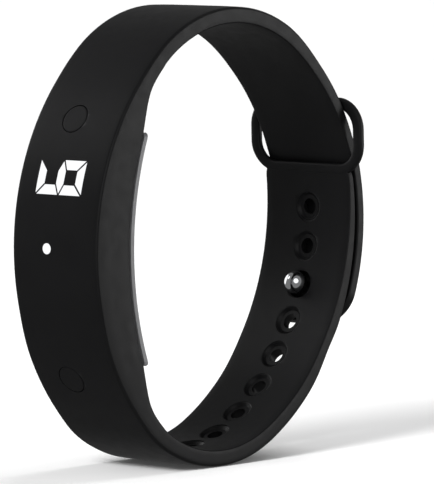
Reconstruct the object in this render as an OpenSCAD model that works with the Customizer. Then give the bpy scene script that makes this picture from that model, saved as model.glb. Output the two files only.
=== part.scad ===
// Fitness tracker band: a silicone bracelet that carries an electronics capsule behind its display.
// X runs along the wrist, -Y is the way the display faces, and the closure is at +Y.
// The origin is the middle of the wrist opening.

/* [Band] */
// Width of the band along the wrist
band_w = 17; // [16:0.5:18]
// How far the centre of the display arc lies behind the origin
face_centre_y = 5; // [4.5:0.5:5.5]
// Radius of the outer surface across the display
face_r = 37; // [36.8:0.1:37.2]
// Thickness of the straps beside the display
strap_t = 2.2; // [2:0.1:2.4]
// Radius of the wrist side of the thick display part
back_r = 49; // [48:0.5:51]
// Thickness of the display part at its middle, without the back plate
module_t = 6.8; // [6.7:0.1:7]
// Half length of the display sleeve along Z
sleeve_half = 22.8; // [22.4:0.2:23.2]

/* [Closure] */
// Thickness of the tail that carries the stud
tail_t = 1.5; // [1.4:0.1:1.5]
// Height of the hinge line where the tail leaves the ring
peel_z = 8.8; // [8.6:0.1:9]
// Lowest point of the tail
tail_tip_z = -14.6; // [-16:0.2:-14]
// Radius of the corners of the tail's tip
tail_corner_r = 5.5; // [3:0.5:8]
// Number of holes in the lower strap
hole_count = 9; // [7:1:9]
// Distance between holes along the outer surface
hole_pitch = 6.3; // [6.2:0.1:6.4]
// Distance of the first hole from the middle of the display, along the outer surface
hole_start = 49.4; // [49:0.2:50]
// Diameter of a hole at its narrow side
hole_d = 2.4; // [2:0.1:2.8]
// Depth of the narrow part of a hole
hole_web = 0.8; // [0.6:0.1:0.9]
// Diameter of a hole where it is wide
recess_d = 4.2; // [4.1:0.1:4.4]
// Diameter of the stud's ball head
stud_ball_d = 3.5; // [3.2:0.1:3.5]
// Width of the keeper ring's bars
ring_bar_w = 1.7; // [1.5:0.1:1.7]
// Thickness of the keeper ring
ring_t = 1.2; // [1:0.1:1.2]
// Half width of the ring along the middle of its bars
ring_half_w = 10.4; // [10.2:0.1:11]
// Radius of the ring's corners
ring_corner_r = 4; // [3:0.5:4.5]

/* [Display and keys] */
// Height of the digit, which lies along the wrist
digit_h = 9.1; // [7:0.1:9.6]
// Width of the digit, round the band
digit_w = 5.2; // [4:0.1:5.6]
// Width of a stroke of the digit
stroke_w = 1.45; // [1:0.05:1.5]
// Gap between two strokes
stroke_gap = 0.16; // [0.1:0.02:0.3]
// Angle of the digit above the middle of the display
digit_angle = 16.8; // [16:0.2:18]
// Diameter of the indicator light
dot_d = 1.6; // [1:0.1:2]
// Place of the indicator light along the wrist
dot_x = -1.4; // [-2:0.1:2]
// Angle of the indicator light above the middle of the display
dot_angle = 0.5; // [0:0.5:2]
// Angle of the keys above and below the middle of the display
key_angle = 31; // [30.5:0.5:31.5]
// Place of the upper key along the wrist
upper_key_x = -0.7; // [-1.5:0.1:1.5]
// Place of the lower key along the wrist
lower_key_x = -1.3; // [-1.5:0.1:1.5]
// Diameter of a key
key_d = 4.4; // [4:0.1:4.6]

/* [Capsule] */
// Thickness of the silicone over the capsule
skin_t = 1; // [1:0.1:1.1]
// Thickness of the silicone beside the capsule
side_t = 1.1; // [1:0.1:1.2]
// Half length of the capsule along Z
capsule_half = 20.8; // [20.6:0.1:21]
// Thickness of the capsule's walls
shell_t = 0.8; // [0.7:0.1:0.8]
// Half length of the back plate along Z
plate_half = 17.2; // [17:0.1:17.3]
// Thickness of the back plate
plate_t = 1.4; // [1.3:0.1:1.5]
// Width of the back plate along the wrist
plate_w = 16.4; // [16:0.2:16.4]
// Distance of the plate screws from the middle along X
screw_x = 5.8; // [5.6:0.1:5.9]
// Distance between the charging contacts
contact_pitch = 6.4; // [5:0.2:7]
// Length of the battery, round the band
battery_len = 11.1; // [9:0.1:11.1]

/* [Hidden] */

$fn = 96;
// Facets of the large arcs
arc_fn = 360;
// A gap between pieces that do not move
fit = 0.05;
// A little more, so that a cut passes a face
over = 0.5;
// Longer than anything in the part
far = 80;
// Angle between the points of a strap's outline
arc_step = 1.5;
// Colours of the pieces
silicone = [0.09, 0.09, 0.095];
steel = [0.85, 0.86, 0.88];
board_green = [0.05, 0.2, 0.12];

// Touching arcs of the straps, from the middle of the display: outer radius, inner radius, sweep
upper_run = [[face_r, face_r - strap_t, 53.5], [25.4, 25.4 - strap_t, 66], [34, 33.7, 80]];
lower_run = [[face_r, face_r - strap_t, 45], [23.2, 23.2 - strap_t, 73.6], [37, 36.7, 78]];
OUTER = 0;
INNER = 1;
SWEEP = 2;
last = 2;

// Direction at angle a, as Y and Z
function toward(a) = [cos(a), sin(a)];
// Angle at which arc i of a run begins
function arc_start(run, i) = i == 0 ? 180 : arc_start(run, i - 1) - run[i - 1][SWEEP];
// Centre of arc i on one side, which touches the arc before it
function arc_centre(run, i, side) = i == 0 ? [face_centre_y, 0] :
    arc_centre(run, i - 1, side) + (run[i - 1][side] - run[i][side]) * toward(arc_start(run, i));
function arc_length(run, i) = run[i][OUTER] * run[i][SWEEP] * PI / 180;
// Centre, radius and angle of the outer surface at distance s from the middle of the display
function spot(run, s, i = 0) = s > arc_length(run, i) && i < last ?
    spot(run, s - arc_length(run, i), i + 1) :
    [arc_centre(run, i, OUTER), run[i][OUTER], arc_start(run, i) - s / run[i][OUTER] * 180 / PI];

// The tail follows the last arc of the upper strap, and peels about a line at its rounded end
tail_c = arc_centre(upper_run, last, OUTER);
tail_r = upper_run[last][OUTER];
tail_mid_r = tail_r - tail_t / 2;
peel_angle = asin((peel_z - tail_c[1]) / tail_mid_r);
peel_point = tail_c + tail_mid_r * toward(peel_angle);
peel_gap = 0.1;
tail_low_angle = -35;
strap_end_angle = peel_angle + (tail_t / 2 + peel_gap) / tail_mid_r * 180 / PI;

// The ring leans from the end of the lower strap to a bar over the upper strap
ring_bottom = [24.35, 9.6];
ring_top_angle = 30.8;
ring_top_lift = 1.12;
ring_top = tail_c + (tail_r + ring_top_lift) * toward(ring_top_angle);
// Rounded, so that the ring's straight and round edges meet exactly
ring_half_h = round(norm(ring_top - ring_bottom) * 5) / 10;
ring_mid = (ring_top + ring_bottom) / 2;
ring_lean = atan2(ring_bottom[0] - ring_top[0], ring_top[1] - ring_bottom[1]);

lower_end_angle = -27;

// Stud: heights above the outer surface of the lower strap, at the hole that it is in
stud_hole = 6;
stud_ball_out = -2.6;
stud_neck_d = 2;
stud_nut_d = 4.6;
stud_nut_low = 1.6;
stud_nut_t = 0.5;
stud_slot_w = 0.5;
stud_slot_depth = 0.2;

// Display part, from the outside to the wrist side
back_centre_y = face_centre_y - face_r + module_t + back_r;
capsule_r = face_r - skin_t - fit;
cavity_r = capsule_r - shell_t;
capsule_w = band_w - 2 * side_t - 2 * fit;
cavity_w = capsule_w - 2 * shell_t;
lip_t = 1;
rim_t = 1;
capsule_corner_r = 2.5;
plate_corner_r = 0.8;
plate_rim_t = 0.7;
plate_rim_w = 0.6;
gasket_w = 0.4;
gasket_t = 0.4;
gasket_edge = 0.2;
// Screws of the back plate
screw_z = 15.6;
screw_angle = asin(screw_z / back_r);
screw_head_d = 1.9;
screw_head_t = 0.45;
screw_sunk = 0.1;
screw_d = 1;
screw_len = 2.6;
screw_slot_w = 0.3;
screw_slot_depth = 0.2;
boss_d = 2.3;
boss_len = 5;
// Charging contacts, and the springs behind them that reach the main board
contact_d = 2.4;
contact_angle = 8.2;
contact_sunk = 0.1;
spring_d = 1.2;
spring_len = 0.45;
// Keys: the cap, the plunger through the housing, and the switch under it
key_gap = 0.12;
key_cap_t = 0.62;
plunger_d = 1.6;
plunger_hole_d = 2.2;
plunger_low = 1.95;
switch_size = 2.4;
switch_t = 0.5;
switch_dome_d = 1.6;
switch_dome_t = 0.2;
switch_top = 2.27;
// Boards: angle of the middle, distance of the front from the display's centre, and size
board_t = 0.6;
display_angle = 10;
display_r = 33.8;
display_len = 15;
display_w = 12;
led_w = 0.8;
led_t = 0.35;
mask_t = 0.35;
mask_w = 12.4;
mask_low = -2;
mask_len = 17;
main_angle = 14;
main_r = 31.7;
main_len = 13;
main_w = 12.4;
chip_size = [5, 0.9, 5];
chip_shift = -2.5;
sensor_size = [2.5, 0.8, 2.5];
sensor_shift = [3.6, 2.5];
antenna_size = [7, 0.9, 1.6];
antenna_shift = 5.3;
link_size = [3, 1.15, 1];
link_shift = [-4.3, -4.6];
// Battery, and the motor below it
battery_angle = -12.9;
battery_r = 34.2;
battery_t = 3.2;
battery_w = 12;
battery_corner_r = 1.2;
tape_t = 0.15;
motor_d = 3;
motor_len = 8.6;
motor_place = [-24.9, -14.5];

// ---- helpers ----
// An outline drawn as Y and Z becomes a solid of width w, centred on the band
module across(w) rotate([90, 0, 90]) linear_extrude(w, center = true) children();
// An outline drawn as X and Z becomes a solid from y0 to y1
module through_y(y0, y1) translate([0, y1, 0]) rotate([90, 0, 0]) linear_extrude(y1 - y0) children();
// Places children on a circle about c, with their +Y outward at angle a
module out_at(c, r, a, x = 0)
    translate([x, c[0] + r * cos(a), c[1] + r * sin(a)]) rotate([a, 0, 0]) children();
// On the display's arc, at angle a above its middle
module on_face(r, a, x = 0) out_at([face_centre_y, 0], r, 180 - a, x) children();
// On the arc of the wrist side, with +Y toward the display
module on_back(a, x = 0) out_at([back_centre_y, 0], back_r, 180 - a, x) children();
// Places children at distance s along the lower strap, with +Y outward
module on_lower(s) mirror([0, 0, 1]) out_at(spot(lower_run, s)[0], spot(lower_run, s)[1],
    spot(lower_run, s)[2]) children();
module on_stud() on_lower(hole_start + stud_hole * hole_pitch) children();
// A rod along Y from lo to hi
module rod(d, lo, hi) translate([0, lo, 0]) rotate([-90, 0, 0]) cylinder(d = d, h = hi - lo);
// A block whose front is at y = 0
module slab(size) translate([-size[0] / 2, -size[1], -size[2] / 2]) cube(size);
module wedge(c, a0, a1)
    polygon([c, c + far * toward(a0), c + far * toward((a0 + a1) / 2), c + far * toward(a1)]);
module rounded(w, h, r) {
    square([w - 2 * r, h], center = true);
    square([w, h - 2 * r], center = true);
    for (i = [-1, 1], j = [-1, 1]) translate([i * (w / 2 - r), j * (h / 2 - r)]) circle(r);
}

// ---- outlines, as Y and Z ----
// The area inside a run of touching arcs
module run_area(run, side)
    polygon([for (i = [0:last])
        let (steps = ceil(run[i][SWEEP] / arc_step))
        for (k = [min(i, 1):steps])
            arc_centre(run, i, side) + run[i][side] * toward(arc_start(run, i) - run[i][SWEEP] * k / steps)]);
module face_area(r) translate([face_centre_y, 0]) circle(r, $fn = arc_fn);
// The wrist side of the display part, moved toward the display by d
module back_area(d = 0) translate([back_centre_y, 0]) circle(back_r + d, $fn = arc_fn);
// Section of the band above the middle line
module band_area(run)
    difference() {
        run_area(run, OUTER);
        intersection() {
            run_area(run, INNER);
            back_area();
        }
    }
// The display side of the part, between two heights
module front_strip(low, high) translate([-far, low]) square([far - 10, high - low]);
// The strap's region, above the sleeve and as far as angle a about c on the closure side
module strap_region(c, a)
    difference() {
        wedge(c, a + 170, a);
        translate([-far - 10, -far]) square([far, far + sleeve_half]);
    }
// A solid between the display's arc and the wrist side
module front_block(r, back_d, half, w)
    across(w) intersection() {
        difference() {
            face_area(r);
            back_area(back_d);
        }
        front_strip(-half, half);
    }
// A rounded outline seen from the wrist, cut through the display part
module from_back(w, h, r) through_y(-40, -10) rounded(w, h, r);
// A shell on the wrist side, from depth d0 to depth d1 measured toward the display
module back_shell(d0, d1, half, w)
    across(w) intersection() {
        difference() {
            back_area(d1);
            back_area(d0);
        }
        front_strip(-half, half);
    }

// ---- digit ----
// Strokes as X along the wrist and Z up: bars cross the digit, sides run along it
bar_half = digit_w / 2;
end_x = digit_h / 2;
module end_bar() polygon([
    [end_x, bar_half - stroke_gap], [end_x - stroke_w, bar_half - stroke_w - stroke_gap],
    [end_x - stroke_w, stroke_w + stroke_gap - bar_half], [end_x, stroke_gap - bar_half]]);
module middle_bar() polygon([
    [0, bar_half - stroke_gap], [stroke_w / 2, bar_half - stroke_w - stroke_gap],
    [stroke_w / 2, stroke_w + stroke_gap - bar_half], [0, stroke_gap - bar_half],
    [-stroke_w / 2, stroke_w + stroke_gap - bar_half], [-stroke_w / 2, bar_half - stroke_w - stroke_gap]]);
module side_bar() polygon([
    [stroke_gap, bar_half], [end_x - stroke_gap, bar_half],
    [end_x - stroke_gap - stroke_w, bar_half - stroke_w],
    [stroke_gap + stroke_w / 2, bar_half - stroke_w]]);
// The six lit strokes
module lit_strokes() {
    middle_bar();
    for (m = [0, 1]) mirror([m, 0]) {
        end_bar();
        mirror([0, 1]) side_bar();
    }
    side_bar();
}
module dark_stroke() mirror([1, 0]) side_bar();
// Turns strokes into solids from radius r0 to r1 on the display's arc
module on_display(r0, r1)
    intersection() {
        on_face(0, digit_angle) through_y(r0 - over, r1 + over) mirror([0, 1]) children();
        across(band_w) difference() {
            face_area(r1);
            face_area(r0);
        }
    }
module dot_light(r0, r1)
    intersection() {
        on_face(0, dot_angle, dot_x) rod(dot_d, r0 - over, r1 + over);
        across(band_w) difference() {
            face_area(r1);
            face_area(r0);
        }
    }
module light_windows(r0, r1) {
    on_display(r0, r1) lit_strokes();
    on_display(r0, r1) dark_stroke();
    dot_light(r0, r1);
}

// ---- silicone ----
// The space for the capsule, open toward the wrist
module capsule_form(grow, open)
    intersection() {
        union() {
            front_block(capsule_r + grow, open, plate_half + grow, capsule_w + 2 * grow);
            front_block(capsule_r + grow, lip_t - grow, capsule_half + grow, capsule_w + 2 * grow);
        }
        from_back(capsule_w + 2 * grow, 2 * (capsule_half + grow), capsule_corner_r + grow);
    }
module display_sleeve()
    color(silicone) difference() {
        front_block(face_r, 0, sleeve_half, band_w);
        capsule_form(fit, -over);
        for (s = [-1, 1]) at_key(s) rod(key_d + 2 * key_gap, -skin_t - over, over);
        light_windows(face_r - skin_t - over, face_r + over);
    }
module upper_strap()
    color(silicone) across(band_w) intersection() {
        band_area(upper_run);
        strap_region(tail_c, strap_end_angle);
    }
module strap_hole(k)
    on_lower(hole_start + k * hole_pitch) {
        rod(hole_d, -strap_t - over, over);
        rod(recess_d, -strap_t - over, k == stud_hole ? over : -hole_web);
    }
module lower_strap()
    color(silicone) difference() {
        mirror([0, 0, 1]) across(band_w) intersection() {
            band_area(lower_run);
            strap_region([0, 0], lower_end_angle);
            translate([-far, -ring_bottom[1]]) square(2 * far);
        }
        for (k = [0:hole_count - 1]) strap_hole(k);
        ring_form();
    }
// The ring as a flat loop, stood up on the end of the lower strap
module ring_outline(grow)
    rounded(2 * ring_half_w + grow, 2 * ring_half_h + grow, ring_corner_r + grow / 2);
module ring_form()
    translate([0, ring_mid[0], ring_mid[1]]) rotate([90 + ring_lean, 0, 0])
        linear_extrude(ring_t, center = true) difference() {
            ring_outline(ring_bar_w);
            ring_outline(-ring_bar_w);
        }
module keeper_ring() color(silicone) ring_form();
module tail_area() {
    intersection() {
        difference() {
            translate(tail_c) circle(tail_r, $fn = arc_fn);
            translate(tail_c) circle(tail_r - tail_t, $fn = arc_fn);
        }
        wedge(tail_c, peel_angle, tail_low_angle);
    }
    translate(peel_point) circle(d = tail_t);
}
module strap_tail()
    color(silicone) difference() {
        intersection() {
            across(band_w) tail_area();
            through_y(10, 40) translate([0, tail_tip_z + far / 2]) rounded(band_w, far, tail_corner_r);
        }
        on_stud() {
            rod(stud_neck_d + 2 * fit, -over, stud_nut_low + over);
            rod(stud_nut_d + 2 * fit, stud_nut_low, stud_nut_low + 2);
        }
    }

// ---- stud ----
module stud_pin()
    color(steel) on_stud() {
        translate([0, stud_ball_out, 0]) sphere(d = stud_ball_d);
        rod(stud_neck_d, stud_ball_out, stud_nut_low + stud_nut_t);
    }
module stud_nut()
    color(steel) on_stud() difference() {
        rod(stud_nut_d, stud_nut_low, stud_nut_low + stud_nut_t);
        rod(stud_neck_d, 0, 2 * stud_nut_low);
        for (s = [-1, 1]) translate([s * stud_nut_d / 2, stud_nut_low + stud_nut_t + over, 0])
            slab([stud_nut_d - stud_neck_d - stud_slot_w, stud_slot_depth + over, stud_slot_w]);
    }

// ---- keys ----
// Places children at a key on the display's arc, with +Y outward
module at_key(side)
    on_face(face_r, side * key_angle, side > 0 ? upper_key_x : lower_key_x) children();
module key(side)
    color(silicone) {
        intersection() {
            at_key(side) rod(key_d, -key_cap_t, over);
            across(band_w) face_area(face_r);
        }
        at_key(side) rod(plunger_d, -plunger_low, -key_cap_t);
    }
module upper_key() key(1);
module lower_key() key(-1);
module key_switch(side)
    color([0.75, 0.75, 0.76]) at_key(side) {
        translate([0, -switch_top - switch_dome_t, 0]) slab([switch_size, switch_t, switch_size]);
        rod(switch_dome_d, -switch_top - switch_dome_t, -switch_top);
    }
module upper_switch() key_switch(1);
module lower_switch() key_switch(-1);

// ---- capsule ----
module capsule_cavity() {
    front_block(cavity_r, -over, plate_half - rim_t, cavity_w);
    front_block(cavity_r, lip_t + shell_t, capsule_half - shell_t, cavity_w);
}
module at_screws()
    for (i = [-1, 1], j = [-1, 1]) on_back(j * screw_angle, i * screw_x) children();
module gasket_form()
    intersection() {
        back_shell(0, gasket_t, plate_half, band_w);
        difference() {
            from_back(capsule_w - 2 * gasket_edge, 2 * (plate_half - gasket_edge), capsule_corner_r);
            from_back(capsule_w - 2 * gasket_edge - 2 * gasket_w,
                2 * (plate_half - gasket_edge - gasket_w), capsule_corner_r - gasket_w);
        }
    }
module capsule_housing()
    color([0.13, 0.13, 0.14]) difference() {
        union() {
            difference() {
                capsule_form(0, 0);
                capsule_cavity();
            }
            intersection() {
                capsule_form(0, 0);
                at_screws() rod(boss_d, fit, boss_len);
            }
        }
        at_screws() rod(screw_d, -over, screw_len - plate_t + 2 * fit);
        gasket_form();
        light_windows(cavity_r - over, capsule_r + over);
        for (s = [-1, 1]) at_key(s) rod(plunger_hole_d, -skin_t - shell_t - over, 0);
    }
// One layer of the back plate, drawn in from its outline
module plate_layer(outer, inner, inset)
    intersection() {
        back_shell(outer, inner, plate_half - inset, plate_w - 2 * inset);
        from_back(plate_w - 2 * inset, 2 * (plate_half - inset), plate_corner_r);
    }
module back_plate()
    color([0.5, 0.5, 0.51]) difference() {
        union() {
            plate_layer(-plate_t, plate_rim_t - plate_t, 0);
            plate_layer(plate_rim_t - plate_t - over, 0, plate_rim_w);
        }
        at_screws() {
            rod(screw_d, -plate_t - over, over);
            rod(screw_head_d + 2 * fit, -plate_t - over, screw_head_t + screw_sunk - plate_t);
        }
        at_contacts() rod(contact_d, -plate_t - over, over);
    }
module plate_screws()
    color(steel) at_screws() difference() {
        union() {
            rod(screw_head_d, screw_sunk - plate_t, screw_sunk + screw_head_t - plate_t);
            rod(screw_d, screw_sunk + screw_head_t - plate_t - fit, screw_len - plate_t);
        }
        for (a = [0, 90]) translate([0, screw_sunk + screw_slot_depth - plate_t, 0]) rotate([0, a, 0])
            slab([screw_head_d * 0.7, screw_slot_depth + over, screw_slot_w]);
    }
module plate_gasket() color([0.8, 0.3, 0.15]) gasket_form();
module at_contacts()
    for (i = [-1, 1]) on_back(contact_angle, i * contact_pitch / 2) children();
module charge_contacts() color([0.85, 0.68, 0.3]) at_contacts() rod(contact_d, contact_sunk - plate_t, 0);
module contact_springs() color([0.85, 0.68, 0.3]) at_contacts() rod(spring_d, 0, spring_len);

// ---- display ----
module digit_segments() color("white") on_display(cavity_r, face_r) lit_strokes();
module idle_segment() color([0.1, 0.1, 0.11]) on_display(cavity_r, face_r) dark_stroke();
module indicator_light() color("white") dot_light(cavity_r, face_r);
module light_mask()
    color([0.1, 0.1, 0.11]) difference() {
        across(mask_w) intersection() {
            difference() {
                face_area(cavity_r - fit);
                face_area(cavity_r - fit - mask_t);
            }
            front_strip(mask_low, mask_low + mask_len);
        }
        light_windows(cavity_r - mask_t - over, cavity_r);
    }
module display_board()
    color(board_green) on_face(display_r, display_angle) slab([display_w, board_t, display_len]);
// One chip behind each stroke and one behind the indicator, as X and angle
digit_turn = digit_angle - display_angle;
module led_at(x, up) translate([x, led_t, up]) slab([led_w, led_t, led_w]);
module display_leds()
    color([0.95, 0.93, 0.8]) on_face(display_r, display_angle) {
        digit_up = -display_r * tan(digit_turn);
        side_up = bar_half - stroke_w / 2;
        for (i = [-1, 0, 1]) led_at(i * (end_x - stroke_w / 2), digit_up);
        for (i = [-1, 1], j = [-1, 1]) led_at(i * end_x / 2, digit_up + j * side_up);
        led_at(dot_x, display_r * tan(display_angle - dot_angle));
    }

// ---- boards, battery and motor ----
module on_main() on_face(main_r, main_angle) children();
module main_board() color(board_green) on_main() slab([main_w, board_t, main_len]);
module on_board(size, x, up) on_main() translate([x, size[1], -up]) slab(size);
module processor() color([0.15, 0.15, 0.16]) on_board(chip_size, 0, chip_shift);
module motion_sensor()
    color([0.2, 0.2, 0.22]) on_board(sensor_size, sensor_shift[0], sensor_shift[1]);
module antenna() color([0.9, 0.9, 0.85]) on_board(antenna_size, 0, antenna_shift);
module board_link()
    color([0.92, 0.9, 0.85]) on_board(link_size, link_shift[0], link_shift[1]);
module battery()
    color([0.7, 0.72, 0.75]) on_face(battery_r, battery_angle) through_y(-battery_t, 0)
        rounded(battery_w, battery_len, battery_corner_r);
module battery_tape()
    color([0.95, 0.9, 0.6]) on_face(battery_r - battery_t, battery_angle)
        slab([battery_w - 2, tape_t, battery_len - 2]);
module vibration_motor()
    color(steel) translate([0, motor_place[0], motor_place[1]]) rotate([0, 90, 0])
        cylinder(d = motor_d, h = motor_len, center = true);

display_sleeve();
upper_strap();
lower_strap();
keeper_ring();
strap_tail();
stud_pin();
stud_nut();
upper_key();
lower_key();
upper_switch();
lower_switch();
capsule_housing();
back_plate();
plate_screws();
plate_gasket();
charge_contacts();
contact_springs();
digit_segments();
idle_segment();
indicator_light();
light_mask();
display_board();
display_leds();
main_board();
processor();
motion_sensor();
antenna();
board_link();
battery();
battery_tape();
vibration_motor();
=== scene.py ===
"""Looks of a fitness tracker band: moulded silicone, hidden display, keys, closure and lights.

Lengths are millimetres in this file, and angles are degrees, until a vertex is made.
"""
import math

import bmesh
import bpy
from mathutils import Matrix, Vector


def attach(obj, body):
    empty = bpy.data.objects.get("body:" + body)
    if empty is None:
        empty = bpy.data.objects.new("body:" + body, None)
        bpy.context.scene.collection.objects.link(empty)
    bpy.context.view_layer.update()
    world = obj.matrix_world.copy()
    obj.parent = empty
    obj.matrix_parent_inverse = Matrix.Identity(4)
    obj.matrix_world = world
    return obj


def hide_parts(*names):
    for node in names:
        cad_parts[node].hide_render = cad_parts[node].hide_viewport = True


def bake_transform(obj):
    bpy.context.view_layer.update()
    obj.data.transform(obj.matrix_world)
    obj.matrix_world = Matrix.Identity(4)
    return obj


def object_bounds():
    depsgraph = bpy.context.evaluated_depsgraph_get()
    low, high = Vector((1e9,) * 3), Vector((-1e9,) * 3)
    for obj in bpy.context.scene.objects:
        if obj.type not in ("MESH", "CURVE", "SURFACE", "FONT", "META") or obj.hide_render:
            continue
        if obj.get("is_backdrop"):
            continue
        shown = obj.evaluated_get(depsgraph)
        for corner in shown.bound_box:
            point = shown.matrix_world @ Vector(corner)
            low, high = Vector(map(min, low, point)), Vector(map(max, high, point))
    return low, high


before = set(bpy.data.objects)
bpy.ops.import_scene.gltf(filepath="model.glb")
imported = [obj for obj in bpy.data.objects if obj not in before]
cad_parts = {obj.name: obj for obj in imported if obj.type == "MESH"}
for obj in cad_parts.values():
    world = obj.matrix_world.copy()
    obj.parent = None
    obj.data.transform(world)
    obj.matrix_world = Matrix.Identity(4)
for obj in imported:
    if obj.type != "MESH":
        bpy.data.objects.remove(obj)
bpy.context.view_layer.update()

MM = 0.001

# ---- the design's driving dimensions ----
HALF_W = 8.5
FACE_R = 37.0
FACE_CY = 5.0
STRAP_T = 2.2
BACK_R = 49.0
BACK_CY = 23.8
TAIL_T = 1.5
PEEL_Z = 8.8
TAIL_TIP_Z = -14.6
TAIL_CORNER_R = 5.5
RING_BOTTOM = (24.35, 9.6)
RING_TOP_ANGLE = 30.8
RING_TOP_LIFT = 1.12
RING_HALF_W = 10.4
RING_CORNER_R = 4.0
RING_BAR_W = 1.7
RING_T = 1.2
HOLE_COUNT = 9
HOLE_PITCH = 6.3
HOLE_START = 49.4
HOLE_R = 1.2
RECESS_R = 2.1
STUD_HOLE = 6
STUD_BALL_R = 1.75
STUD_BALL_OUT = -2.6
STUD_NECK_R = 1.0
STUD_NUT_R = 2.3
STUD_NUT_LOW = 1.6
STUD_NUT_T = 0.5
KEY_ANGLE = 31.0
KEY_X = {1: -0.7, -1: -1.3}
KEY_R = 2.2
KEY_GAP = 0.12
KEY_T = 0.62
PLUNGER_R = 0.8
PLUNGER_LOW = 1.95
SKIN_T = 1.0
SIDE_T = 1.1
LIP_T = 1.0
CAPSULE_HALF = 20.8
PLATE_HALF = 17.2
DIGIT_H = 9.1
DIGIT_W = 5.2
STROKE_W = 1.45
STROKE_GAP = 0.21
DIGIT_ANGLE = 16.8
DOT_R = 0.8
DOT_X = -1.4
DOT_ANGLE = 0.5

# ---- what only the looks need ----
FACE_SINK = 0.03       # the silicone lies this little below the lights and the keys
FULL = 0.32            # the moulding is this much fuller on the outside than its CAD solid
CROWN = 0.08           # how far the outer face falls toward its edges
EDGE_OUT = 0.45        # radius of the outer edges
EDGE_IN = 0.2          # radius of the inner edges
BACK_BLEND = 1.1       # softness where the thick part runs into the strap
LIP_Z = 17.2           # beyond the plate the wrist side is flatter
LIP_FROM_Z = 13.76     # below this height the arc alone holds
LIP_SLOPE = 0.2
FULL_UPPER_END = 74.0  # where the fuller outside ends, along the outer face
FULL_LOWER_END = 79.0
TAIL_FULL = 0.2
LOW_SWELL = 0.3        # more fullness where the lower key is
SWELL_END = 38.0
STRAP_SHIFT = 0.27
SWELL_START = 8.0
STRAP_SHIFT_START = 26.0
COVERED_FROM = 76.0    # the tail lies over the strap from here on
COVERED_FULL = 0.15
COVERED_EDGE = 0.15    # radius of the outer edges under the tail
LOW_BAR_T = 0.95       # the ring's lower bar is thinner, as it is moulded to the strap
LOW_BAR_SHIFT = 0.12
BAR_ROUNDNESS = 0.62   # below 1, the bar's section is squarer than an ellipse
STATION = 0.6          # distance between cross-sections
SEAM_ANGLE = RING_TOP_ANGLE
END_LAP = 0.35         # how far the pierced strap runs into the ring's lower bar
END_R = 0.5            # rounding of the pierced strap's end
END_CORNER_R = 2.0
END_CORNER_SHARE = 0.4
TAIL_END_R = 0.45
TAIL_THIN_H = 5.0      # height over which the strap thins to the tail
NUT_GAP = 0.06
NECK_GAP = 0.02
END_SOFTNESS = 0.9     # share of a section's half thickness that a rounded end draws in
LIP = 0.3              # rounding of the strap holes' lips
RECESS_DEPTH = 0.42
KEY_LIP = 0.07
KEY_RIM = 0.1
NUT_LIP = 0.12
SKIN_LAP = 0.2
ROOM = 0.05            # clearance round the capsule and the plate
CLEAR = 1.0            # how far a cutter runs past the surface
LIGHT_DEPTH = 0.5
SHARP = 35             # angle above which an edge is drawn sharp

# Touching arcs from the middle of the display: outer radius, inner radius, sweep
UPPER = ((FACE_R, FACE_R - STRAP_T, 53.5), (25.4, 25.4 - STRAP_T, 66.0), (34.0, 33.7, 80.0))
LOWER = ((FACE_R, FACE_R - STRAP_T, 45.0), (23.2, 23.2 - STRAP_T, 73.6), (37.0, 36.7, 78.0))
OUTER, INNER, SWEEP = range(3)
X_AXIS = Vector((1, 0, 0))


# ---- plane geometry of the band, as (Y, Z) ----
def toward(angle):
    """Unit vector at an angle."""
    return Vector((math.cos(math.radians(angle)), math.sin(math.radians(angle))))


def smooth(t):
    """Smooth step from 0 to 1."""
    t = min(1.0, max(0.0, t))
    return t * t * (3 - 2 * t)


def arcs_of(run, side):
    """(centre, radius, first angle, sweep) of each arc of a run."""
    centre, start, arcs = Vector((FACE_CY, 0.0)), 180.0, []
    for i, arc in enumerate(run):
        if i:
            centre = centre + (run[i - 1][side] - arc[side]) * toward(start)
        arcs.append((centre.copy(), arc[side], start, arc[SWEEP]))
        start -= arc[SWEEP]
    return arcs


def depth_to(point, normal, centre, radius):
    """How far inward along the normal a circle begins."""
    rel = point - centre
    along = normal.dot(rel)
    return along - math.sqrt(max(0.0, along * along - rel.length_squared + radius * radius))


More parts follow.
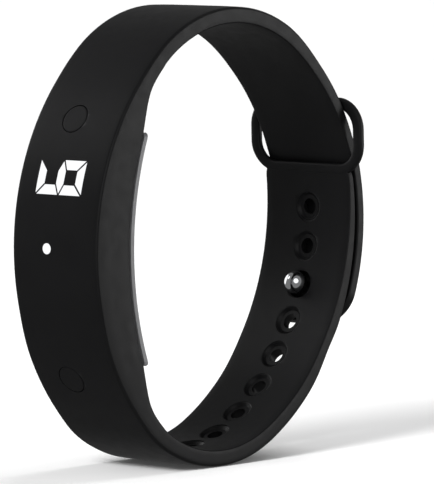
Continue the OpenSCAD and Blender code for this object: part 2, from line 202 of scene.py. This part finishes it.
class Run:
    """One side of the band, from the middle of the display to the closure."""

    def __init__(self, run, up):
        self.outer, self.inner, self.up = arcs_of(run, OUTER), arcs_of(run, INNER), up

    def spot(self, s):
        """Outer face's point, outward normal and arc number, at distance s from the display."""
        for i, (centre, radius, start, sweep) in enumerate(self.outer):
            length = radius * math.radians(sweep)
            if s <= length or i == len(self.outer) - 1:
                break
            s -= length
        normal = toward(start - math.degrees(s / radius))
        return centre + radius * normal, normal, i

    def back_depth(self, point, normal):
        """Depth of the wrist side: an arc behind the plate, then a flatter lip."""
        arc = depth_to(point, normal, Vector((BACK_CY, 0.0)), BACK_R)
        if point[1] < LIP_FROM_Z:
            return arc
        lip_y = BACK_CY - math.sqrt(BACK_R ** 2 - LIP_Z ** 2) - LIP_SLOPE * LIP_Z
        lip = (point[0] - lip_y - LIP_SLOPE * point[1]) / (normal[0] - LIP_SLOPE * normal[1])
        return min(arc, lip)

    def full(self, s):
        """How far the outer face stands outside its CAD solid."""
        if self.up:
            return FULL * smooth((FULL_UPPER_END - s) / 12)
        swell = LOW_SWELL * smooth((s - SWELL_START) / 9) * smooth((SWELL_END - s) / 8)
        covered = COVERED_FULL * smooth((s - COVERED_FROM) / 6)
        return FULL * smooth((FULL_LOWER_END - s) / 9) + swell + covered

    def shift(self, s):
        """How far the strap lies outside its CAD solid."""
        end = FULL_UPPER_END if self.up else FULL_LOWER_END
        return STRAP_SHIFT * smooth((s - STRAP_SHIFT_START) / 10) * smooth((end - s) / 10)

    def thickness(self, s):
        """The larger of the strap's and the display part's thickness, blended where they cross."""
        point, normal, i = self.spot(s)
        centre, radius = self.inner[i][:2]
        strap = depth_to(point, normal, centre, radius)
        back = self.back_depth(point, normal)
        gap = strap - back
        softness = BACK_BLEND * BACK_BLEND * smooth(2 + back)
        return (strap + back + math.sqrt(gap * gap + softness)) / 2

    def distance_at_z(self, z):
        """Distance along the outer face at which the last arc reaches height z."""
        centre, radius, start, _ = self.outer[-1]
        before = sum(r * math.radians(sweep) for _, r, _, sweep in self.outer[:-1])
        angle = math.degrees(math.asin((z - centre[1]) / radius))
        return before + radius * math.radians(start - angle)

    def place(self, point, normal):
        """Plane point and normal as 3-D vectors in the row frame."""
        sign = 1 if self.up else -1
        return Vector((0, point[0], sign * point[1])), Vector((0, normal[0], sign * normal[1]))

    def frame(self, s):
        """Point on the outer face and outward normal in 3-D, at distance s from the display."""
        point, normal, _ = self.spot(s)
        return self.place(point + self.shift(s) * normal, normal)


upper, lower = Run(UPPER, True), Run(LOWER, False)
tail_centre, tail_r = upper.outer[-1][0], upper.outer[-1][1]


# ---- meshes ----
def new_object(name, bm, sharp=SHARP):
    """Turns a bmesh into a smooth-shaded object."""
    bmesh.ops.recalc_face_normals(bm, faces=bm.faces)
    mesh = bpy.data.meshes.new(name)
    bm.to_mesh(mesh)
    bm.free()
    mesh.shade_smooth()
    mesh.set_sharp_from_angle(angle=math.radians(sharp))
    obj = bpy.data.objects.new(name, mesh)
    bpy.context.scene.collection.objects.link(obj)
    return obj


def loft(bm, loops, closed=False):
    """Skins loops of points in millimetres, and caps the two ends unless they meet."""
    rings = [[bm.verts.new(p * MM) for p in loop] for loop in loops]
    count = len(rings[0])
    pairs = list(zip(rings, rings[1:] + rings[:1])) if closed else list(zip(rings, rings[1:]))
    for a, b in pairs:
        for j in range(count):
            bm.faces.new((a[j], a[(j + 1) % count], b[(j + 1) % count], b[j]))
    if not closed:
        bm.faces.new(rings[0])
        bm.faces.new(list(reversed(rings[-1])))


def on_circle(cx, cy, r, angle):
    return (cx + r * math.cos(math.radians(angle)), cy + r * math.sin(math.radians(angle)))


def arc_points(cx, cy, r, a0, a1, steps):
    return [on_circle(cx, cy, r, a0 + (a1 - a0) * k / steps) for k in range(steps + 1)]


def band_section(half, thick, inset=0.0, full=0.0, edge=EDGE_OUT):
    """Cross-section of the band as (x, depth): crowned outside, rounded edges, flat inside."""
    half, near, far = half - inset, FACE_SINK - full + inset, thick - inset
    room = far - near
    r_out = min(edge, 0.42 * room)
    r_in = min(EDGE_IN, 0.3 * room)
    crown = CROWN * min(1.0, room / 3)
    steps = 22
    span = half - r_out
    face = [(span * (2 * k / steps - 1), near + crown * abs(2 * k / steps - 1) ** 4)
            for k in range(1, steps)]
    right = arc_points(span, near + crown + r_out, r_out, -90, 0, 6)
    flat = room - crown - r_out - r_in
    side = [(half, near + crown + r_out + flat * k / 3) for k in (1, 2)]
    low = arc_points(half - r_in, far - r_in, r_in, 0, 90, 4)
    inner = [((half - r_in) * (1 - 2 * k / 12), far) for k in range(1, 12)]
    half_loop = right + side + low
    return face + half_loop + inner + [(-x, d) for x, d in reversed(half_loop)]


def rounded_end(distance, radius):
    """How far a rounded end draws in, at a distance from the tip."""
    if distance >= radius:
        return 0.0
    return radius - math.sqrt(max(0.0, radius * radius - (radius - distance) ** 2))


def spread(start, end, step, ease=0.0):
    """Positions from start to end, with extra ones over the last ease."""
    body_end = end - ease
    count = max(1, math.ceil((body_end - start) / step))
    places = [start + (body_end - start) * k / count for k in range(count + 1)]
    if ease:
        places += [body_end + ease * math.sin(math.radians(90 * k / 8)) for k in range(1, 9)]
    return places


def lay(run, s, section):
    """Section points (x, depth) at distance s along a run, as 3-D points in millimetres."""
    point, normal = run.frame(s)
    return [point - d * normal + Vector((x, 0, 0)) for x, d in section]


# ---- cutters ----
def lathe(bm, origin, axis, side, profile, segments=48):
    """Turns (radius, height) pairs about an axis. The profile begins and ends on the axis."""
    axis, side = axis.normalized(), side.normalized()
    other = axis.cross(side)
    rings = []
    for radius, height in profile:
        centre = origin + height * axis
        if radius < 1e-6:
            rings.append([bm.verts.new(centre * MM)])
            continue
        ring = []
        for k in range(segments):
            a = 2 * math.pi * k / segments
            spot = centre + radius * (math.cos(a) * side + math.sin(a) * other)
            ring.append(bm.verts.new(spot * MM))
        rings.append(ring)
    for a, b in zip(rings, rings[1:]):
        for j in range(segments):
            k = (j + 1) % segments
            if len(a) == 1:
                bm.faces.new((a[0], b[k], b[j]))
            elif len(b) == 1:
                bm.faces.new((a[j], a[k], b[0]))
            else:
                bm.faces.new((a[j], a[k], b[k], b[j]))


def fillet(radius, height, r, up):
    """Points of a rounded lip between a bore wall and a face above or below it."""
    sign = 1 if up else -1
    points = []
    for a in (0, 22.5, 45, 67.5, 90):
        x, y = r * math.cos(math.radians(a)), r * math.sin(math.radians(a))
        points.append((radius + r - x, height - sign * (r - y)))
    return points


def cut(obj, bm):
    """Takes the closed shapes in bm away from obj."""
    cutter = new_object("cutter", bm)
    step = obj.modifiers.new("cut", "BOOLEAN")
    step.operation, step.solver, step.object = "DIFFERENCE", "EXACT", cutter
    graph = bpy.context.evaluated_depsgraph_get()
    mesh = bpy.data.meshes.new_from_object(obj.evaluated_get(graph))
    obj.modifiers.clear()
    old, obj.data = obj.data, mesh
    name = old.name
    bpy.data.meshes.remove(old)
    mesh.name = name
    bpy.data.objects.remove(cutter)
    mesh.shade_smooth()
    mesh.set_sharp_from_angle(angle=math.radians(SHARP))


def strap_hole(bm, k):
    """A hole with its recess on the wrist side. The stud's hole is wide right through."""
    s = HOLE_START + k * HOLE_PITCH
    point, normal = lower.frame(s)
    inside = -lower.thickness(s)
    wide = k == STUD_HOLE
    top = fillet(RECESS_R if wide else HOLE_R, lower.full(s) - FACE_SINK, LIP, True)
    bottom = fillet(RECESS_R, inside, LIP, False)
    profile = [(0, CLEAR), (top[-1][0], CLEAR)] + list(reversed(top))
    if not wide:
        floor = inside + RECESS_DEPTH
        profile += [(HOLE_R, floor), (RECESS_R - LIP, floor), (RECESS_R, floor - LIP)]
    profile += bottom + [(bottom[-1][0], inside - CLEAR), (0, inside - CLEAR)]
    lathe(bm, point, normal, X_AXIS, profile)


def low_full(side):
    """How much fuller the face is round a key."""
    return 0.0 if side > 0 else LOW_SWELL


def key_frame(side):
    """Point on the display's arc at a key's centre, and outward normal."""
    normal = toward(180 - side * KEY_ANGLE)
    point = Vector((FACE_CY, 0.0)) + FACE_R * normal
    return Vector((KEY_X[side], point[0], point[1])), Vector((0, normal[0], normal[1]))


def key_opening(bm, side):
    point, normal = key_frame(side)
    radius, under = KEY_R + KEY_GAP, -SKIN_T - SKIN_LAP
    top = fillet(radius, FULL + low_full(side) - FACE_SINK, KEY_LIP, True)
    profile = [(0, CLEAR), (top[-1][0], CLEAR)] + list(reversed(top))
    profile += [(radius, under), (0, under)]
    lathe(bm, point, normal, X_AXIS, profile)


def capsule_room(bm, half_z, back_depth, steps=40):
    """The space for the capsule, from the skin to a depth behind the wrist side."""
    half_x = HALF_W - SIDE_T
    loops = []
    top = math.degrees(math.asin(half_z / (FACE_R - SKIN_T)))
    for k in range(steps + 1):
        normal = toward(180 - (top - 2 * top * k / steps))
        y, z = Vector((FACE_CY, 0.0)) + (FACE_R - SKIN_T) * normal
        far_y = BACK_CY - math.sqrt((BACK_R + back_depth) ** 2 - z ** 2)
        loops.append([Vector((-half_x, y, z)), Vector((half_x, y, z)),
                      Vector((half_x, far_y, z)), Vector((-half_x, far_y, z))])
    loft(bm, loops)


# ---- the silicone band ----
def lower_loop(s, end):
    """Cross-section of the pierced side, with a rounded end."""
    inset = END_SOFTNESS * rounded_end(end - s, END_R)
    half = HALF_W - END_CORNER_SHARE * rounded_end(end - s, END_CORNER_R)
    edge = EDGE_OUT + (COVERED_EDGE - EDGE_OUT) * smooth((s - COVERED_FROM) / 6)
    return lay(lower, s, band_section(half, lower.thickness(s), inset, lower.full(s), edge))


def upper_loop(s):
    return lay(upper, s, band_section(HALF_W, upper.thickness(s), 0.0, upper.full(s)))


def make_band():
    """Lower strap, display part and upper strap as one moulding, up to the ring's upper bar."""
    low_end = lower.distance_at_z(-RING_BOTTOM[1]) + END_LAP
    seam_z = tail_centre[1] + tail_r * math.sin(math.radians(SEAM_ANGLE))
    loops = [lower_loop(s, low_end) for s in reversed(spread(0, low_end, STATION, ease=END_R))]
    loops += [upper_loop(s) for s in spread(0, upper.distance_at_z(seam_z), STATION)[1:]]
    bm = bmesh.new()
    loft(bm, loops)
    band = new_object("silicone_band", bm)
    cutters = [(strap_hole, k) for k in range(HOLE_COUNT)]
    cutters += [(key_opening, side) for side in (-1, 1)]
    cutters += [(capsule_room, CAPSULE_HALF + ROOM, LIP_T), (capsule_room, PLATE_HALF + ROOM, -1)]
    for shape, *values in cutters:
        tool = bmesh.new()
        shape(tool, *values)
        cut(band, tool)
    return band


def tail_loop(s, length):
    """Cross-section of the strap beyond the seam, which thins to the tail and ends round."""
    normal = toward(SEAM_ANGLE - math.degrees(s / tail_r))
    point = tail_centre + tail_r * normal
    strap = depth_to(point, normal, *upper.inner[-1][:2])
    thick = strap + (TAIL_T - strap) * smooth((PEEL_Z + TAIL_THIN_H - point[1]) / TAIL_THIN_H)
    half = HALF_W - rounded_end(length - s, TAIL_CORNER_R)
    inset = END_SOFTNESS * rounded_end(length - s, TAIL_END_R)
    section = band_section(half, thick, inset, TAIL_FULL * smooth((s - 4) / 6))
    point, normal = upper.place(point, normal)
    return [point - d * normal + Vector((x, 0, 0)) for x, d in section]


def stud_seat(bm):
    """The neck's hole through the tail, and the nut's wide seat outside."""
    point, normal = lower.frame(HOLE_START + STUD_HOLE * HOLE_PITCH)
    neck, nut = STUD_NECK_R + NECK_GAP, STUD_NUT_R + NUT_GAP
    lip = fillet(nut, STUD_NUT_LOW + STUD_NUT_T + NECK_GAP, NUT_LIP, True)
    profile = [(0, -CLEAR), (neck, -CLEAR), (neck, STUD_NUT_LOW), (nut, STUD_NUT_LOW)]
    lathe(bm, point, normal, X_AXIS, profile + lip + [(lip[-1][0], 4), (0, 4)])


def make_tail():
    """The strap from under the ring's upper bar to the rounded tip, which peels at the ring."""
    low_angle = math.degrees(math.asin((TAIL_TIP_Z - tail_centre[1]) / tail_r))
    length = tail_r * math.radians(SEAM_ANGLE - low_angle)
    bm = bmesh.new()
    loft(bm, [tail_loop(s, length) for s in spread(0, length, 0.45, ease=TAIL_END_R)])
    tail = new_object("strap_and_tail", bm)
    tool = bmesh.new()
    stud_seat(tool)
    cut(tail, tool)
    return tail


def ring_path(half_h):
    """Rounded rectangle as (x, z, outward angle), anticlockwise from the upper right corner."""
    path = []
    for quarter, (sx, sz) in enumerate(((1, 1), (-1, 1), (-1, -1), (1, -1))):
        cx, cz = sx * (RING_HALF_W - RING_CORNER_R), sz * (half_h - RING_CORNER_R)
        for k in range(17):
            angle = 90 * (quarter + k / 16)
            path.append((*on_circle(cx, cz, RING_CORNER_R, angle), angle))
        if quarter in (0, 2):
            bar_z = cz + sz * RING_CORNER_R
            for k in range(1, 24):
                path.append((cx - sx * 2 * abs(cx) * k / 24, bar_z, 90 * (quarter + 1)))
    return path


def bar_section(low):
    """Section of the ring's bar as (outward, through), thinner where low nears 1."""
    thick = RING_T + (LOW_BAR_T - RING_T) * low
    points = []
    for k in range(24):
        c, s = math.cos(2 * math.pi * k / 24), math.sin(2 * math.pi * k / 24)
        points.append((RING_BAR_W / 2 * math.copysign(abs(c) ** BAR_ROUNDNESS, c),
                       thick / 2 * math.copysign(abs(s) ** BAR_ROUNDNESS, s) - LOW_BAR_SHIFT * low))
    return points


def make_ring():
    """The keeper ring: a soft-edged bar round a rounded rectangle."""
    top = tail_centre + (tail_r + RING_TOP_LIFT) * toward(RING_TOP_ANGLE)
    bottom = Vector(RING_BOTTOM)
    half_h = (top - bottom).length / 2
    z_axis = Vector((0, *(top - bottom).normalized()))
    y_axis = X_AXIS.cross(z_axis)
    centre = Vector((0, *((top + bottom) / 2)))
    loops = []
    for x, z, angle in ring_path(half_h):
        out = toward(angle)
        section = bar_section(smooth((-half_h + 3.2 - z) / 3.0))
        loops.append([centre + (x + u * out[0]) * X_AXIS + (z + u * out[1]) * z_axis + v * y_axis
                      for u, v in section])
    bm = bmesh.new()
    loft(bm, loops, closed=True)
    return new_object("keeper_loop", bm, sharp=60)


# ---- keys, lights and metal ----
def on_face(x, up, depth):
    """A point on the display's arc: x along the wrist, and up round the arc from its middle."""
    normal = toward(180 - math.degrees(up / FACE_R))
    point = Vector((FACE_CY, 0.0)) + (FACE_R - depth) * normal
    return Vector((x, point[0], point[1]))


def key_rings():
    """(radius, depth) of the circles of a key: its cap, its soft rim, and the plunger behind it."""
    rings = [(r, 0.0) for r in (0.5, 1.0, 1.5, 1.9)]
    for a in (0, 30, 60, 90):
        x, y = KEY_RIM * math.sin(math.radians(a)), KEY_RIM * math.cos(math.radians(a))
        rings.append((KEY_R - KEY_RIM + x, KEY_RIM - y))
    return rings + [(KEY_R, KEY_T), (PLUNGER_R, KEY_T), (PLUNGER_R, PLUNGER_LOW)]


def make_key(name, side, segments=64):
    """A round key whose cap follows the display's arc."""
    bm = bmesh.new()
    middle = math.radians(KEY_ANGLE) * FACE_R * side
    place, face = KEY_X[side], FACE_SINK - FULL - low_full(side)
    loops = []
    for radius, depth in key_rings():
        spots = [on_circle(place, middle, radius, 360 * k / segments) for k in range(segments)]
        loops.append([bm.verts.new(on_face(x, up, depth + face) * MM) for x, up in spots])
    centre = bm.verts.new(on_face(place, middle, face) * MM)
    for j in range(segments):
        bm.faces.new((centre, loops[0][j], loops[0][(j + 1) % segments]))
    for a, b in zip(loops, loops[1:]):
        for j in range(segments):
            k = (j + 1) % segments
            bm.faces.new((a[j], b[j], b[k], a[k]))
    bm.faces.new(loops[-1])
    return new_object(name, bm)


def stroke_outlines():
    """The seven strokes of the digit as (x, up) outlines, the unlit one last."""
    bar, end, w, g = DIGIT_W / 2, DIGIT_H / 2, STROKE_W, STROKE_GAP
    end_bar = [(end, bar - g), (end - w, bar - w - g), (end - w, w + g - bar), (end, g - bar)]
    middle = [(0, bar - g), (w / 2, bar - w - g), (w / 2, w + g - bar),
              (0, g - bar), (-w / 2, w + g - bar), (-w / 2, bar - w - g)]
    side = [(g, bar), (end - g, bar), (end - g - w, bar - w), (g + w / 2, bar - w)]

    def flip(shape, sx, sy):
        return [(sx * x, sy * y) for x, y in shape]

    lit = [middle, end_bar, flip(end_bar, -1, 1), side, flip(side, 1, -1), flip(side, -1, -1)]
    return lit, flip(side, -1, 1)


def inlay(bm, outline, proud, deep, up0=0.0, x0=0.0, cells=6):
    """A thin plate with this outline, laid on the display's arc."""
    flat = bmesh.new()
    flat.faces.new([flat.verts.new((x, y, 0)) for x, y in outline])
    low, high = min(y for _, y in outline), max(y for _, y in outline)
    for k in range(1, cells):
        cut_at = low + (high - low) * k / cells
        bmesh.ops.bisect_plane(flat, geom=flat.verts[:] + flat.edges[:] + flat.faces[:],
                               plane_co=(0, cut_at, 0), plane_no=(0, 1, 0))
    made = bmesh.ops.extrude_face_region(flat, geom=flat.faces[:])
    top = {v for v in made["geom"] if isinstance(v, bmesh.types.BMVert)}
    new = {}
    for v in flat.verts:
        depth = -proud if v in top else deep
        new[v] = bm.verts.new(on_face(v.co[0] + x0, v.co[1] + up0, depth) * MM)
    for f in flat.faces:
        bm.faces.new([new[v] for v in f.verts])
    flat.free()


def make_digit():
    """The six lit strokes and the unlit one."""
    lit, idle = stroke_outlines()
    up = math.radians(DIGIT_ANGLE) * FACE_R
    bm = bmesh.new()
    for outline in lit:
        inlay(bm, outline, FULL, LIGHT_DEPTH, up0=up)
    digit = new_object("digit_lights", bm)
    bm = bmesh.new()
    inlay(bm, idle, FULL - FACE_SINK + 0.004, LIGHT_DEPTH, up0=up)
    return digit, new_object("unlit_stroke", bm)


def make_dot():
    bm = bmesh.new()
    outline = [on_circle(0, 0, DOT_R, 360 * k / 48) for k in range(48)]
    inlay(bm, outline, FULL, LIGHT_DEPTH, up0=math.radians(DOT_ANGLE) * FACE_R, x0=DOT_X)
    return new_object("indicator_glow", bm)


def make_stud(steps=28):
    """Ball on a neck that reaches through the tail into the nut."""
    point, normal = lower.frame(HOLE_START + STUD_HOLE * HOLE_PITCH)
    sweep = 180 - math.degrees(math.asin(STUD_NECK_R / STUD_BALL_R))
    profile = [(0, STUD_BALL_OUT - STUD_BALL_R)]
    profile += arc_points(0, STUD_BALL_OUT, STUD_BALL_R, -90, sweep - 90, steps)[1:]
    top = STUD_NUT_LOW + STUD_NUT_T - NECK_GAP
    profile += [(STUD_NECK_R, top - 0.1), (STUD_NECK_R - 0.1, top), (0, top)]
    bm = bmesh.new()
    lathe(bm, point, normal, X_AXIS, profile, segments=64)
    return new_object("ball_stud", bm, sharp=50)


# ---- materials ----
def material(name, color, rough, metallic=0.0, **more):
    """A Principled material with plain values on its sockets."""
    made = bpy.data.materials.new(name)
    made.use_nodes = True
    shader = made.node_tree.nodes["Principled BSDF"]
    shader.inputs["Base Color"].default_value = (*color, 1)
    shader.inputs["Roughness"].default_value = rough
    shader.inputs["Metallic"].default_value = metallic
    for key, value in more.items():
        shader.inputs[key.replace("_", " ")].default_value = value
    return made


def noise(made, scale, detail=3.0, stretch=(1, 1, 1)):
    """A noise value in object space. Scale is features per millimetre."""
    nodes, links = made.node_tree.nodes, made.node_tree.links
    coords = nodes.new("ShaderNodeTexCoord")
    mapping = nodes.new("ShaderNodeMapping")
    texture = nodes.new("ShaderNodeTexNoise")
    mapping.inputs["Scale"].default_value = stretch
    texture.inputs["Scale"].default_value = scale / MM
    texture.inputs["Detail"].default_value = detail
    links.new(coords.outputs["Object"], mapping.inputs["Vector"])
    links.new(mapping.outputs["Vector"], texture.inputs["Vector"])
    return texture.outputs["Fac"]


def vary(made, value, socket, low, high):
    """Drives a float socket from a noise value, between low and high."""
    nodes, links = made.node_tree.nodes, made.node_tree.links
    spread_node = nodes.new("ShaderNodeMapRange")
    spread_node.inputs["From Min"].default_value = 0.3
    spread_node.inputs["From Max"].default_value = 0.7
    spread_node.inputs["To Min"].default_value = low
    spread_node.inputs["To Max"].default_value = high
    links.new(value, spread_node.inputs["Value"])
    links.new(spread_node.outputs["Result"], nodes["Principled BSDF"].inputs[socket])


def tint(made, value, dark, light):
    """Drives the base colour from a noise value, between two colours."""
    nodes, links = made.node_tree.nodes, made.node_tree.links
    ramp = nodes.new("ShaderNodeValToRGB")
    ramp.color_ramp.elements[0].position = 0.3
    ramp.color_ramp.elements[1].position = 0.7
    ramp.color_ramp.elements[0].color = (*dark, 1)
    ramp.color_ramp.elements[1].color = (*light, 1)
    links.new(value, ramp.inputs["Fac"])
    links.new(ramp.outputs["Color"], nodes["Principled BSDF"].inputs["Base Color"])


def bump(made, value, height, strength=1.0):
    """Relief of a height in millimetres."""
    nodes, links = made.node_tree.nodes, made.node_tree.links
    relief = nodes.new("ShaderNodeBump")
    relief.inputs["Strength"].default_value = strength
    relief.inputs["Distance"].default_value = height * MM
    links.new(value, relief.inputs["Height"])
    links.new(relief.outputs["Normal"], nodes["Principled BSDF"].inputs["Normal"])


def silicone_material():
    made = material("silicone_matte", (0.005, 0.005, 0.0053), 0.42, Specular_IOR_Level=0.16)
    tint(made, noise(made, 0.15), (0.0039, 0.0039, 0.0042), (0.0047, 0.0047, 0.005))
    vary(made, noise(made, 0.6), "Roughness", 0.39, 0.45)
    bump(made, noise(made, 9.0, 2.0), 0.012, 0.4)
    return made


def plastic_material(name, color, rough, grain=6.0, height=0.01, specular=0.4):
    made = material(name, color, rough, Specular_IOR_Level=specular)
    dark, light = tuple(c * 0.92 for c in color), tuple(min(1, c * 1.08) for c in color)
    tint(made, noise(made, 0.4), dark, light)
    vary(made, noise(made, 1.5), "Roughness", rough - 0.05, rough + 0.06)
    bump(made, noise(made, grain, 2.0), height, 0.5)
    return made


def metal_material(name, color, rough, stretch=(1, 1, 1), grain=8.0):
    made = material(name, color, rough, 1.0)
    vary(made, noise(made, grain, 3.0, stretch), "Roughness", rough * 0.8, rough * 1.3)
    bump(made, noise(made, grain * 1.5, 2.0, stretch), 0.002, 0.3)
    return made


def glow_material(name, strength):
    made = material(name, (0.05, 0.05, 0.05), 0.35,
                    Emission_Color=(0.97, 0.98, 1.0, 1), Emission_Strength=strength)
    vary(made, noise(made, 1.2), "Roughness", 0.3, 0.4)
    bump(made, noise(made, 6.0, 2.0), 0.004, 0.3)
    return made


def dress(obj, made):
    obj.data.materials.clear()
    obj.data.materials.append(made)


# ---- building ----
silicone = silicone_material()
chrome = metal_material("chrome_polished", (0.82, 0.83, 0.85), 0.07, grain=1.5)
steel = metal_material("steel_machined", (0.6, 0.61, 0.63), 0.28)
gold = metal_material("gold_plating", (0.83, 0.62, 0.26), 0.25)
plate_grey = plastic_material("plate_grey", (0.16, 0.16, 0.165), 0.42)
housing_black = plastic_material("housing_black", (0.03, 0.03, 0.032), 0.5)
mask_black = plastic_material("mask_black", (0.012, 0.012, 0.012), 0.6)
unlit_dark = plastic_material("unlit_dark", (0.005, 0.005, 0.0053), 0.42,
                              height=0.004, specular=0.15)
board_green = plastic_material("board_mask", (0.015, 0.11, 0.055), 0.35, grain=3.0)
chip_black = plastic_material("chip_package", (0.02, 0.02, 0.022), 0.45)
ceramic_white = plastic_material("antenna_ceramic", (0.75, 0.73, 0.68), 0.5)
connector_cream = plastic_material("connector_cream", (0.7, 0.66, 0.56), 0.4)
led_yellow = plastic_material("led_phosphor", (0.85, 0.78, 0.4), 0.25)
foil = metal_material("battery_foil", (0.66, 0.68, 0.7), 0.32, grain=3.0)
tape_amber = plastic_material("tape_amber", (0.65, 0.4, 0.08), 0.3)
gasket_orange = plastic_material("gasket_orange", (0.5, 0.13, 0.04), 0.55)
glow = glow_material("display_glow", 0.95)

band, tail, ring = make_band(), make_tail(), make_ring()
for piece in (band, tail, ring):
    dress(piece, silicone)
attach(band, "root")
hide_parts("display_sleeve", "upper_strap", "lower_strap")
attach(ring, "root")
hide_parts("keeper_ring")
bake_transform(tail)
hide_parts("strap_tail")

for name, side in (("upper_key", 1), ("lower_key", -1)):
    key = make_key(name + "_cap", side)
    dress(key, silicone)
    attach(key, name)
    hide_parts(name)

stud = make_stud()
dress(stud, chrome)
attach(stud, "tail")
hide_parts("stud_pin")

digit, idle = make_digit()
DISPLAY = (
    (digit, glow, "lit", "digit_segments"),
    (idle, unlit_dark, "unlit", "idle_segment"),
    (make_dot(), glow, "lit", "indicator_light"),
)
for piece, made, slot, node in DISPLAY:
    dress(piece, made)
    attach(piece, "root")
    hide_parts(node)

NODE_LOOKS = {
    "stud_nut": steel,
    "upper_switch": steel,
    "lower_switch": steel,
    "capsule_housing": housing_black,
    "back_plate": plate_grey,
    "plate_screws": steel,
    "plate_gasket": gasket_orange,
    "charge_contacts": gold,
    "contact_springs": gold,
    "light_mask": mask_black,
    "display_board": board_green,
    "display_leds": led_yellow,
    "main_board": board_green,
    "processor": chip_black,
    "motion_sensor": chip_black,
    "antenna": ceramic_white,
    "board_link": connector_cream,
    "battery": foil,
    "battery_tape": tape_amber,
    "vibration_motor": steel,
}
for node, made in NODE_LOOKS.items():
    dress(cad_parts[node], made)


# ---- floor, light and camera ----
def make_floor(lowest):
    bm = bmesh.new()
    bmesh.ops.create_grid(bm, x_segments=2, y_segments=2, size=3.0)
    floor = new_object("floor", bm)
    floor.location = (0, 0, lowest)
    made = material("floor_white", (0.86, 0.86, 0.86), 0.9, Specular_IOR_Level=0.0,
                    Emission_Color=(1, 1, 1, 1), Emission_Strength=0.04)
    tint(made, noise(made, 0.01), (0.855, 0.855, 0.855), (0.865, 0.865, 0.865))
    dress(floor, made)
    floor.visible_glossy = False
    floor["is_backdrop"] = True


def sun_light(name, toward_it, strength, spread_angle):
    data = bpy.data.lights.new(name, "SUN")
    data.energy, data.angle = strength, math.radians(spread_angle)
    lamp = bpy.data.objects.new(name, data)
    bpy.context.scene.collection.objects.link(lamp)
    lamp.rotation_euler = Vector(toward_it).to_track_quat("Z", "Y").to_euler()
    lamp.visible_glossy = False


def area_light(name, place, aim, size, power):
    data = bpy.data.lights.new(name, "AREA")
    data.shape, data.size, data.energy = "DISK", size, power
    lamp = bpy.data.objects.new(name, data)
    bpy.context.scene.collection.objects.link(lamp)
    lamp.location = place
    lamp.rotation_euler = (Vector(aim) - Vector(place)).to_track_quat("-Z", "Y").to_euler()


def make_world(level, backdrop):
    """Even light all round. The backdrop itself is seen brighter than it lights."""
    world = bpy.data.worlds.new("studio")
    bpy.context.scene.world = world
    world.use_nodes = True
    nodes, links = world.node_tree.nodes, world.node_tree.links
    nodes["Background"].inputs["Color"].default_value = (1, 1, 1, 1)
    rays, strength = nodes.new("ShaderNodeLightPath"), nodes.new("ShaderNodeMapRange")
    strength.inputs["To Min"].default_value = level
    strength.inputs["To Max"].default_value = backdrop
    links.new(rays.outputs["Is Camera Ray"], strength.inputs["Value"])
    links.new(strength.outputs["Result"], nodes["Background"].inputs["Strength"])


def make_camera(azimuth, elevation, distance, aim, pixels_per_radian, picture_height):
    data = bpy.data.cameras.new("camera")
    data.lens = data.sensor_width * pixels_per_radian / picture_height
    data.clip_start, data.clip_end = 0.05, 20
    camera = bpy.data.objects.new("camera", data)
    bpy.context.scene.collection.objects.link(camera)
    a, e = math.radians(azimuth), math.radians(elevation)
    back = Vector((math.sin(a) * math.cos(e), -math.cos(a) * math.cos(e), math.sin(e)))
    camera.location = Vector(aim) * MM + back * distance * MM
    camera.rotation_euler = (-back).to_track_quat("-Z", "Y").to_euler()
    bpy.context.scene.camera = camera


make_floor(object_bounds()[0][2])
make_world(level=0.2, backdrop=0.97)
sun_light("front_soft", (0.12, -0.68, 0.48), 3.0, 18)
sun_light("top_soft", (0.0, 0.5, 1), 1.4, 36)
area_light("upper_left", (-0.4, -0.29, 0.36), (0, -0.02, 0.015), 0.26, 0.2)
area_light("front_card", (0.75, -0.62, 0.36), (0, 0, 0), 0.95, 2.6)
area_light("back_right", (0.38, 0.42, 0.05), (0, 0, 0), 0.3, 0.85)
area_light("left_card", (-0.5, 0.0, 0.1), (0, 0.02, -0.01), 0.45, 0.55)
make_camera(azimuth=42, elevation=4.5, distance=750, aim=(0, 3.4, -0.7),
            pixels_per_radian=4950, picture_height=484)
bpy.context.scene.view_settings.view_transform = "Standard"
